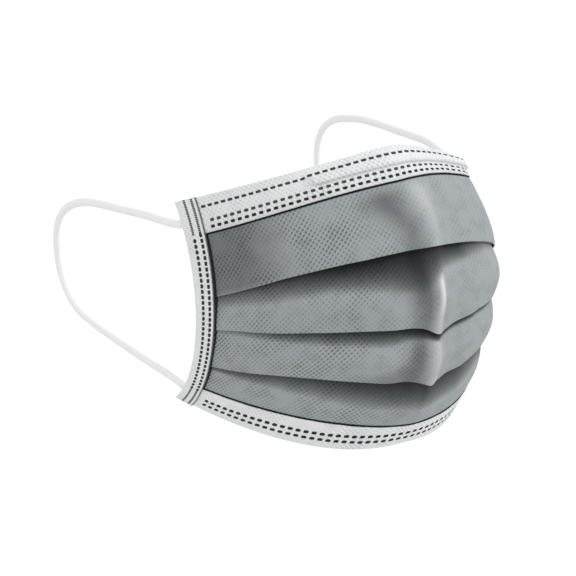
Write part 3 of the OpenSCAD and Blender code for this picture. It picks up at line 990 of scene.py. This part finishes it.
INNER_WELDS = TOP_ROWS + [row._replace(level=BOTTOM_CODE - row.level) for row in BOTTOM_ROWS]
BAND_WELDS = [
    WeldRow(*row, BAND_PITCH, BAND_DOT, BAND_DOT, RIB_ZONE, SIDE_LEN - RIB_ZONE, 0.965)
    for row in BAND_ROWS
] + [
    WeldRow(*row, RIB_PITCH, RIB_LEN, RIB_W, first, first + RIB_ZONE, 0.97)
    for row in BAND_ROWS
    for first in (0, SIDE_LEN - RIB_ZONE)
]
grey_fabric = spunbond("grey_fabric", GREY_HIGH, GREY_LOW, GREY_DARK, 1.55)
white_fabric = spunbond("white_fabric", WHITE_HIGH, WHITE_LOW, WELD_AND_SHADE_DARK, 1.3, INNER_WELDS)
band_fabric = spunbond("band_fabric", WHITE_HIGH, WHITE_LOW, WELD_AND_SHADE_DARK, 1.3, BAND_WELDS)
filter_fabric = spunbond("filter_fabric", (0.78, 0.80, 0.82), (0.66, 0.69, 0.72), WELD_AND_SHADE_DARK, 0.1)
elastic = knitted("elastic", (0.93, 0.93, 0.93), (0.84, 0.84, 0.85))
sleeve_plastic = plain("sleeve_plastic", (0.78, 0.78, 0.77), (0.70, 0.70, 0.69), 0.5)
steel = plain("steel_wire", (0.52, 0.52, 0.53), (0.36, 0.36, 0.37), 0.32, 1.0)


def finish_piece(obj, material, slot_name, *nodes_replaced):
    """Gives a piece its material and hides the CAD nodes that it stands for; slot_name is not used."""
    obj.data.materials.append(material)
    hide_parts(*nodes_replaced)
    return obj


# ------------ plies
def spaced(breaks):
    """Columns between break points: (from, to, number of steps) in order."""
    parts = [np.linspace(a, b, n, endpoint=False) for a, b, n in breaks]
    return np.append(np.concatenate(parts), breaks[-1][1])


GROOVE_U = GROOVE_W / HALF_LEN
HALF_FINE = spaced([
    (0, 0.12, 26), (0.12, BAND_U - 2 * GROOVE_U, 56), (BAND_U - 2 * GROOVE_U, BAND_U, 9),
    (BAND_U, 1, 6),
])
PLY_COLUMNS = np.concatenate([-HALF_FINE[:0:-1], HALF_FINE])
INNER_STEP = 0.00042
EMBOSS_LEAST = 0.35


def both_sides(rows, h):
    """Grids of the front and the back of a ply at height h in the stack."""
    return [place(*shifted(*rows, h + side * PLY / 2)[:4]) for side in (1, -1)]


def flat_map(u, grid):
    """Places on the fabric laid flat: along it and down it, in metres."""
    return np.stack([u * HALF_LEN, down_length(grid)], -1)


def groove_marks(u, dc, ds):
    """The dark line on the grey ply, along both borders and both bands."""
    from_top = (dc + ds) / 2 - TOP_BORDER
    from_bottom = (CREST_LEN - dc + SIDE_LEN - ds) / 2 - BOTTOM_BORDER - bottom_rise(u)
    from_band = (BAND_U - np.abs(u)) * HALF_LEN + GROOVE_W - BAND_LINE
    nearest = np.minimum(np.minimum(np.abs(from_top), np.abs(from_bottom)), np.abs(from_band))
    return ramp((GROOVE_W - nearest) / LINE_SOFT)


def make_outer():
    """The grey ply, with the lattice of its bond points fading towards the right."""
    rows = fabric_columns(PLY_COLUMNS, GROOVE_DEEP)
    u, shade = rows[0], rows[-1]
    front, back = both_sides(rows, 0)
    groove = groove_marks(*rows[:3])
    # The mark holds the dark line, the painted shade under the pleats, in the crest's hollow and by
    # the left band, and below zero a painted highlight on the crease
    mark = np.maximum(groove, shade) + np.minimum(shade, 0) * (1 - groove)
    emboss = EMBOSS_LEAST + (1 - EMBOSS_LEAST) * ramp((0.05 - u) / 0.45)
    values = {"mark": mark, "emboss": emboss}
    obj = sheet_object("outer_ply", front, back, {"flat": flat_map(u, front)}, values)
    return finish_piece(obj, grey_fabric, "grey_fabric", "outer_layer")


def make_filter():
    """The filter, hidden between the two other plies."""
    rows = fabric_columns(PLY_COLUMNS[::2])
    front, back = both_sides(rows, -PITCH)
    obj = sheet_object("filter_ply", front, back, {"flat": flat_map(rows[0], front)})
    return finish_piece(obj, filter_fabric, "filter_fabric", "filter_layer")


TURN_ANGLES = np.radians((75, 50, 25, 0, -25, -50, -75))
POCKET_RISE = STRIP_T + PITCH / 2
POCKET_EDGE = 0.0012
POCKET_END = 0.0035
# Painted shade along the foot of the pocket below the nose strip: its level, width and darkness
POCKET_SHADE_LEVEL = STRIP_DOWN + STRIP_W / 2 + 0.0008
POCKET_SHADE_W = 0.0003
POCKET_SHADE_DARK = 0.34
# Painted shade on the turned top edge, darker towards its lower edge, and how far up it reaches
EDGE_DARK = 0.16
EDGE_REACH = 0.0018


def pocket_rise(u, d):
    """Height of the turned edge over the nose strip."""
    along = ramp((STRIP_U + POCKET_END / HALF_LEN - np.abs(u)) * HALF_LEN / POCKET_END)
    across = ramp((STRIP_W / 2 + POCKET_EDGE - np.abs(d - STRIP_DOWN)) / POCKET_EDGE)
    return POCKET_RISE * along * across


def pocket_shade(u, d):
    """Painted shade: a faint dark line along the foot of the pocket below the strip, and at the
    strip's ends.
    """
    across = (np.abs(u) - STRIP_U) * HALF_LEN
    below = np.exp(-(((d - POCKET_SHADE_LEVEL) / POCKET_SHADE_W) ** 2)) * ramp(-across / (2 * POCKET_SHADE_W))
    end = np.exp(-((across / POCKET_SHADE_W) ** 2)) * (STRIP_DOWN - STRIP_W / 2 < d < POCKET_SHADE_LEVEL)
    return POCKET_SHADE_DARK * np.maximum(below, 0.7 * end)


def border_waves(u, d):
    """Fine unevenness of the turned edges."""
    x = u * HALF_LEN
    return openness(u) * 0.00006 * np.sin(260 * x + 300 * d) * np.sin(410 * x + 1.3)


def turn_rows():
    """Level and height of the rows round a turned edge, from the front to the back."""
    return [
        (TURN_LEVEL - TURN_R * math.cos(a), TURN_MIDDLE + TURN_R * math.sin(a))
        for a in TURN_ANGLES
    ]


def top_turn(u):
    """The top edge turned over the front, from the groove to the back."""
    column = Column(u)
    for d in np.arange(TOP_BORDER, TURN_LEVEL, -BORDER_STEP):
        height = PITCH + pocket_rise(u, d) + border_waves(u, d) - border_dents(u, d, TOP_ROWS)
        # Painted shade: along the pocket, and darker towards the turned edge's lower edge
        shade = pocket_shade(u, d) + EDGE_DARK * math.exp((d - TOP_BORDER) / EDGE_REACH)
        column.add(d, d, height, 1, shade)
    for d, height in turn_rows():
        column.add(d, d, height)
    return column.arrays()


def bottom_turn(u):
    """The bottom edge turned over the front, from the back to the groove."""
    column = Column(u)
    for d, height in turn_rows()[::-1]:
        column.add(CREST_LEN - d, SIDE_LEN - d, height)
    for d in np.arange(TURN_LEVEL, BOTTOM_BORDER, BORDER_STEP):
        down = d * (1 + bottom_rise(u) / BOTTOM_BORDER)
        height = PITCH + border_waves(u, down) - border_dents(u, down, BOTTOM_ROWS)
        column.add(CREST_LEN - down, SIDE_LEN - down, height)
    return column.arrays()


def make_inner():
    """The white ply: its back sheet and the two edges turned over the front."""
    u = np.linspace(-1, 1, int(2 * HALF_LEN / INNER_STEP))
    top, low = top_turn(u), bottom_turn(u)
    sheet = shifted(*fabric_columns(u), -2 * PITCH)
    rows = [np.concatenate(parts, 1) for parts in zip(top, sheet, low)]
    level = np.concatenate([
        top[1], np.full(sheet[1].shape, BACK_CODE), BOTTOM_CODE - (CREST_LEN - low[1]),
    ], 1)
    front, back = both_sides(rows, 0)
    weld = np.stack([rows[0] * HALF_LEN, level], -1)
    maps = {"flat": flat_map(rows[0], front), "weld": weld}
    values = {"mark": rows[-1] * (level >= 0), "emboss": np.ones(level.shape)}
    obj = sheet_object("inner_ply", front, back, maps, values)
    return finish_piece(obj, white_fabric, "white_fabric", "inner_layer")


outer = make_outer()
filter_ply = make_filter()
inner = make_inner()

# ------------ nose strip
STRIP_MIDDLE = PITCH - PLY / 2 + STRIP_T / 2
WIRE_REACH = 1.0005
STRIP_COLUMNS = 141


def tube_object(name, path, sides, ups, section, scales):
    """A tube with closed ends along path; section points are (along side, along up)."""
    n, m = len(path), len(section)
    offsets = section[None, :, :] * scales[:, None, :]
    points = path[:, None] + offsets[..., :1] * sides[:, None] + offsets[..., 1:] * ups[:, None]
    faces = [
        (i * m + j, i * m + (j + 1) % m, (i + 1) * m + (j + 1) % m, (i + 1) * m + j)
        for i in range(n - 1) for j in range(m)
    ]
    faces.append(tuple(range(m - 1, -1, -1)))
    faces.append(tuple((n - 1) * m + j for j in range(m)))
    turn = np.abs(np.arange(m) / m * 2 - 1)
    uv = np.stack(np.broadcast_arrays(turn[None, :], down_length(path[None])[0][:, None]), -1)
    return mesh_object(name, points.reshape(-1, 3), faces, {"flat": uv.reshape(-1, 2)})


def oval(width, thickness, count, square=(1, 1)):
    """A round section, or with powers below 1 a flat one with rounded corners."""
    a = np.arange(count) * 2 * math.pi / count
    return np.stack([
        size / 2 * np.sign(wave) * np.abs(wave) ** power
        for size, wave, power in zip((width, thickness), (np.cos(a), np.sin(a)), square)
    ], -1)


def strip_tube(name, down, section, reach, material, slot_name, cad_node):
    """A sleeve or wire along the top edge, at that level, as far as reach in u."""
    u = np.linspace(-1, 1, STRIP_COLUMNS) * reach
    path = place(u, down, down, STRIP_MIDDLE)
    ups = outward(u, down, down)
    sides = unit(np.cross(ups, np.gradient(path, axis=0)))
    obj = tube_object(name, path, sides, ups, section, np.ones((len(u), 2)))
    return finish_piece(obj, material, slot_name, cad_node)


sleeve = strip_tube(
    "nose_strip_sleeve", STRIP_DOWN, oval(STRIP_W, STRIP_T, 24, (0.35, 0.6)), STRIP_U,
    sleeve_plastic, "sleeve_plastic", "nose_sleeve",
)
wire_upper, wire_lower = (
    strip_tube(
        "nose_strip_wire_" + side, STRIP_DOWN + shift * WIRE_SPACING / 2,
        oval(WIRE_D, WIRE_D, 12), STRIP_U * WIRE_REACH, steel, "steel_wire", "nose_wire_" + side,
    )
    for side, shift in (("upper", -1), ("lower", 1))
)


# ------------ side bands
BAND_FRONT = 2 * PITCH
BAND_BACK = -3 * PITCH
BAND_MIDDLE = (BAND_FRONT + BAND_BACK) / 2
BAND_STEP = 0.00033
BAND_EDGE = 0.00045
BAND_EDGE_DARK = 0.9
FOLD_OUT = 0.0006
BEND_CLEAR = 0.0004
BAND_ROWS_DOWN = 260


def band_section():
    """Path round the fabric's edge, from the front's inner edge to the back's: inset, height."""
    flat = np.arange(SIDE_BAND, 0, -BAND_STEP)
    a = np.linspace(math.pi / 2, -math.pi / 2, 9)
    bend = [-FOLD_OUT * np.cos(a), BAND_MIDDLE + (BAND_FRONT - BAND_BACK) / 2 * np.sin(a)]
    front = [flat, np.full(flat.shape, BAND_FRONT)]
    back = [flat[::-1], np.full(flat.shape, BAND_BACK)]
    return np.concatenate([np.stack(part, -1) for part in (front, bend, back)])


def make_band(name, hand, cad_node):
    """A side band folded round one side edge, with its rows of marks on front and back."""
    section = band_section()
    step = np.gradient(section, axis=0)
    normal = unit(np.stack([step[:, 1], -step[:, 0]], -1))
    inset, along = np.meshgrid(section[:, 0], np.linspace(0, SIDE_LEN, BAND_ROWS_DOWN), indexing="ij")
    height = np.broadcast_to(section[:, 1:], inset.shape)
    dents = band_dents(along, inset) * (inset > BEND_CLEAR)
    grids = []
    for h in (PLY / 2, -PLY / 2):
        p = inset + normal[:, :1] * (h - dents)
        q = height + normal[:, 1:] * (h - dents)
        grids.append(place(hand * (1 - p / HALF_LEN), along / SIDE_LEN * CREST_LEN, along, q))
    edge = ramp((inset - SIDE_BAND + BAND_EDGE) / LINE_SOFT) * (height > BAND_MIDDLE)
    run = down_length(section[None])[0]
    laid = {
        "flat": np.stack(np.broadcast_arrays(run[:, None], along), -1),
        "weld": np.stack([along, inset], -1),
        "mark": BAND_EDGE_DARK * edge,
        "emboss": np.ones(inset.shape),
    }
    if hand > 0:
        grids = [grid[:, ::-1] for grid in grids]
        laid = {key: value[:, ::-1] for key, value in laid.items()}
    maps = {key: laid.pop(key) for key in ("flat", "weld")}
    obj = sheet_object(name, *grids, maps, laid)
    return finish_piece(obj, band_fabric, "white_fabric", cad_node)


left_band = make_band("left_band", -1, "left_side_band")
right_band = make_band("right_band", 1, "right_side_band")


# ------------ ear loops
WELD_MIDDLE = BAND_BACK - 2 * PITCH + 1.5 * PLY - WELD_T / 2
CORD_STEPS = 6


def at_level(hand, distance, upper, height):
    """Place on one side of the mask, distance in from its side edge, at a welded end."""
    dc = LOOP_INSET if upper else CREST_LEN - LOOP_INSET
    ds = LOOP_INSET if upper else SIDE_LEN - LOOP_INSET
    return place(hand * (1 - distance / HALF_LEN), dc, ds, height)


def smooth_line(points):
    """Catmull-Rom curve through the points."""
    ends = np.concatenate([
        2 * points[:1] - points[1:2], points, 2 * points[-1:] - points[-2:-1],
    ])
    out = []
    for i in range(1, len(ends) - 2):
        p0, p1, p2, p3 = ends[i - 1:i + 3]
        for t in np.arange(CORD_STEPS) / CORD_STEPS:
            out.append(0.5 * (
                2 * p1 + (p2 - p0) * t + (2 * p0 - 5 * p1 + 4 * p2 - p3) * t * t
                + (3 * p1 - p0 - 3 * p2 + p3) * t ** 3
            ))
    out.append(ends[-2])
    return np.array(out)


# The cord's welded ends: distance in from the side edge, and how far each place is pressed flat
TAIL = np.array([WELD_LEN, WELD_LEN * 2 / 3, WELD_LEN / 3, 0, -0.0015, -0.003])
TAIL_PRESSED = [1, 1, 1, 0.8, 0.45, 0.2, 0]
END_TAPER = np.array([[0.75], [0.93]])


def make_loop(name, hand, lean, route, cad_nodes):
    """An ear loop: both welded ends and the free length."""
    top, low = (at_level(hand, -SWING_OUT, upper, WELD_MIDDLE) for upper in (True, False))
    up = unit(top - low)
    middle = (top + low) / 2
    back = np.array([hand * math.sin(lean), math.cos(lean), 0])
    back = unit(back - up * (back @ up))
    face = hand * np.cross(back, up)
    free = [middle + back * p[0] + up * p[1] for p in route]
    tail_top, tail_low = (at_level(hand, TAIL, upper, WELD_MIDDLE) for upper in (True, False))
    bed_top, bed_low = (at_level(hand, TAIL, upper, 0) for upper in (True, False))
    line = smooth_line(np.concatenate([tail_top, [top], free, [low], tail_low[::-1]]))
    pressed = TAIL_PRESSED + [0] * len(free) + TAIL_PRESSED[::-1]
    press = smooth_line(np.array(pressed)[:, None])[:, 0]
    tangent = unit(np.gradient(line, axis=0))
    ups = smooth_line(np.concatenate([
        unit(bed_top - tail_top), [face] * (len(free) + 2), unit(bed_low - tail_low)[::-1],
    ]))
    ups = unit(ups - tangent * (ups * tangent).sum(-1, keepdims=True))
    sides = np.cross(ups, tangent)
    wobble = 1 + 0.02 * np.sin(np.arange(len(line)) * 0.7) * (1 - press)
    thick = (CORD_T + (WELD_T - CORD_T) * press) / CORD_T
    scales = np.stack([wobble, thick * wobble], -1)
    scales[:2] *= END_TAPER
    scales[-2:] *= END_TAPER[::-1]
    obj = tube_object(name, line, sides, ups, oval(CORD_W, CORD_T, 20), scales)
    finish_piece(obj, elastic, "white_elastic", *cad_nodes)
    middle - back * 0.001
    middle + back * 0.006
    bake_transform(obj)


make_loop("left_loop", -1, LEFT_LEAN, LEFT_ROUTE, ("left_ear_loop", "left_loop_ends"))
make_loop("right_loop", 1, RIGHT_LEAN, RIGHT_ROUTE, ("right_ear_loop", "right_loop_ends"))

# ------------ what rides on what
for piece in (outer, filter_ply, inner, sleeve, wire_upper, wire_lower, left_band, right_band):
    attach(piece, "mask")


# ------------ floor and light
FLOOR_Z = -0.30
FLOOR_HALF = 6.0
FLOOR_GLOW = 1.05
GLOW_SHARE = 0.9
AMBIENT = 0.92
KEY_AT = Vector((0.75, -0.80, 0.85))
KEY_TO = Vector((0, 0, 0.01))
KEY_SIZE = 0.35
KEY_POWER = 4


def background_rays(graph):
    """1 for the rays that should see a white background, 0 for those that light the object."""
    first, second, third = (
        graph.node("LightPath", "Is " + kind + " Ray") for kind in ("Camera", "Glossy", "Transmission")
    )
    return graph.math("MAXIMUM", graph.math("MAXIMUM", first, second), third)


def make_floor():
    """A pale floor that shows as white: for the rays that see it, most of it is a glow."""
    mesh = bpy.data.meshes.new("floor")
    around = ((-1, -1), (1, -1), (1, 1), (-1, 1))
    corners = [(x * FLOOR_HALF, y * FLOOR_HALF, FLOOR_Z) for x, y in around]
    mesh.from_pydata(corners, [], [(0, 1, 2, 3)])
    floor = bpy.data.objects.new("floor", mesh)
    bpy.context.collection.objects.link(floor)
    material, graph, shader = new_material("floor", (0.8, 0.8, 0.8), 0.9, 0.0)
    glow = graph.node("Emission", 0, (("Color", (1, 1, 1)), ("Strength", FLOOR_GLOW)))
    share = background_rays(graph) * GLOW_SHARE
    base = Value(graph, shader.outputs[0])
    mix = graph.node("MixShader", 0, enumerate((share, base, glow)))
    graph.feed(graph.nodes["Material Output"].inputs["Surface"], mix)
    mesh.materials.append(material)


def make_world():
    """Even white light from all round, shown to the camera as plain white."""
    world = bpy.data.worlds.new("studio")
    bpy.context.scene.world = world
    graph = Graph(world)
    background = graph.nodes["Background"]
    graph.feed(background.inputs["Color"], (1, 1, 1))
    strength = graph.math("MULTIPLY_ADD", background_rays(graph), 1 - AMBIENT, AMBIENT)
    graph.feed(background.inputs["Strength"], strength)


def make_key():
    """A small soft lamp from the right, in front and above."""
    data = bpy.data.lights.new("key", "AREA")
    data.shape = "DISK"
    data.size = KEY_SIZE
    data.energy = KEY_POWER
    lamp = bpy.data.objects.new("key", data)
    bpy.context.collection.objects.link(lamp)
    lamp.location = KEY_AT
    lamp.rotation_euler = (KEY_TO - KEY_AT).to_track_quat("-Z", "Y").to_euler()


make_floor()
make_world()
make_key()
bpy.context.scene.view_settings.view_transform = "Standard"


# ------------ image points, measured
def image_of(u, dc, ds):
    return to_image(place(u, dc, ds, PLY / 2))


def nearest_on(line, key):
    """The place on an image line that is nearest the image point of that name."""
    return line[int(np.argmin(np.linalg.norm(line - np.array(POINTS[key]), axis=1)))]


def pleat_line(k, u):
    dc = TOP_BORDER + sum(PANEL_CREST[:k + 1]) + edge_shift(u, k)
    ds = TOP_BORDER + sum(PANEL_SIDE[:k + 1]) + edge_shift(u, k)
    return image_of(u, dc, ds)


def row_image(guide, key):
    """Where the found place of a weld row is drawn."""
    first, second = found[key]
    if guide == "band":
        return to_image(on_band(first, second, 2 * PITCH + PLY / 2))
    return to_image(on_border(first, second, guide == "top"))


def outline():
    """The mask's extreme image x and y without its cords, from its finished vertices."""
    places = [v.co for piece in (outer, inner, left_band, right_band) for v in piece.data.vertices]
    flat = to_image(np.array(places))
    (left, top), (right, bottom) = flat.min(0), flat.max(0)
    return {
        "object_left_x": left, "object_right_x": right, "object_top_y": top, "object_bottom_y": bottom,
    }


def write_points():
    """Works out how far in x and y each thing shows from its image point."""
    u = np.linspace(-BAND_U, 0.6, 800)
    top_line = image_of(u, TOP_BORDER, TOP_BORDER)
    low_levels = BOTTOM_BORDER + bottom_rise(u)
    low_line = image_of(u, CREST_LEN - low_levels, SIDE_LEN - low_levels)
    ridge = to_image(place(*fabric_columns(np.array([by_level(RIDGE_U, 0.048)]))[:4]))[0]
    fold = -1 - FOLD_OUT / HALF_LEN
    strip_low = STRIP_DOWN + STRIP_W / 2
    shown = {
        "band_top_corner": image_of(fold, 0, 0),
        "band_bottom_corner": image_of(fold, CREST_LEN, SIDE_LEN),
        "top_line_at_band": top_line[0],
        "bottom_line_at_band": low_line[0],
        "top_line_at_nose": nearest_on(top_line, "top_line_at_nose"),
        "first_pleat_middle": nearest_on(pleat_line(0, u), "first_pleat_middle"),
        "third_pleat_middle": nearest_on(pleat_line(2, u), "third_pleat_middle"),
        "ridge_middle": nearest_on(ridge, "ridge_middle"),
    }
    shown.update({key + "_row": row_image(guide, key) for guide in ROWS_ON for key in ROWS_ON[guide]})
    shown["strip_end"] = image_of(-STRIP_U, strip_low, strip_low)
    result = {key: [round(float(at - POINTS[key]), 2)] for key, at in outline().items()}
    for key, at in shown.items():
        result[key] = [round(float(a - b), 2) for a, b in zip(at, POINTS[key])]


write_points()
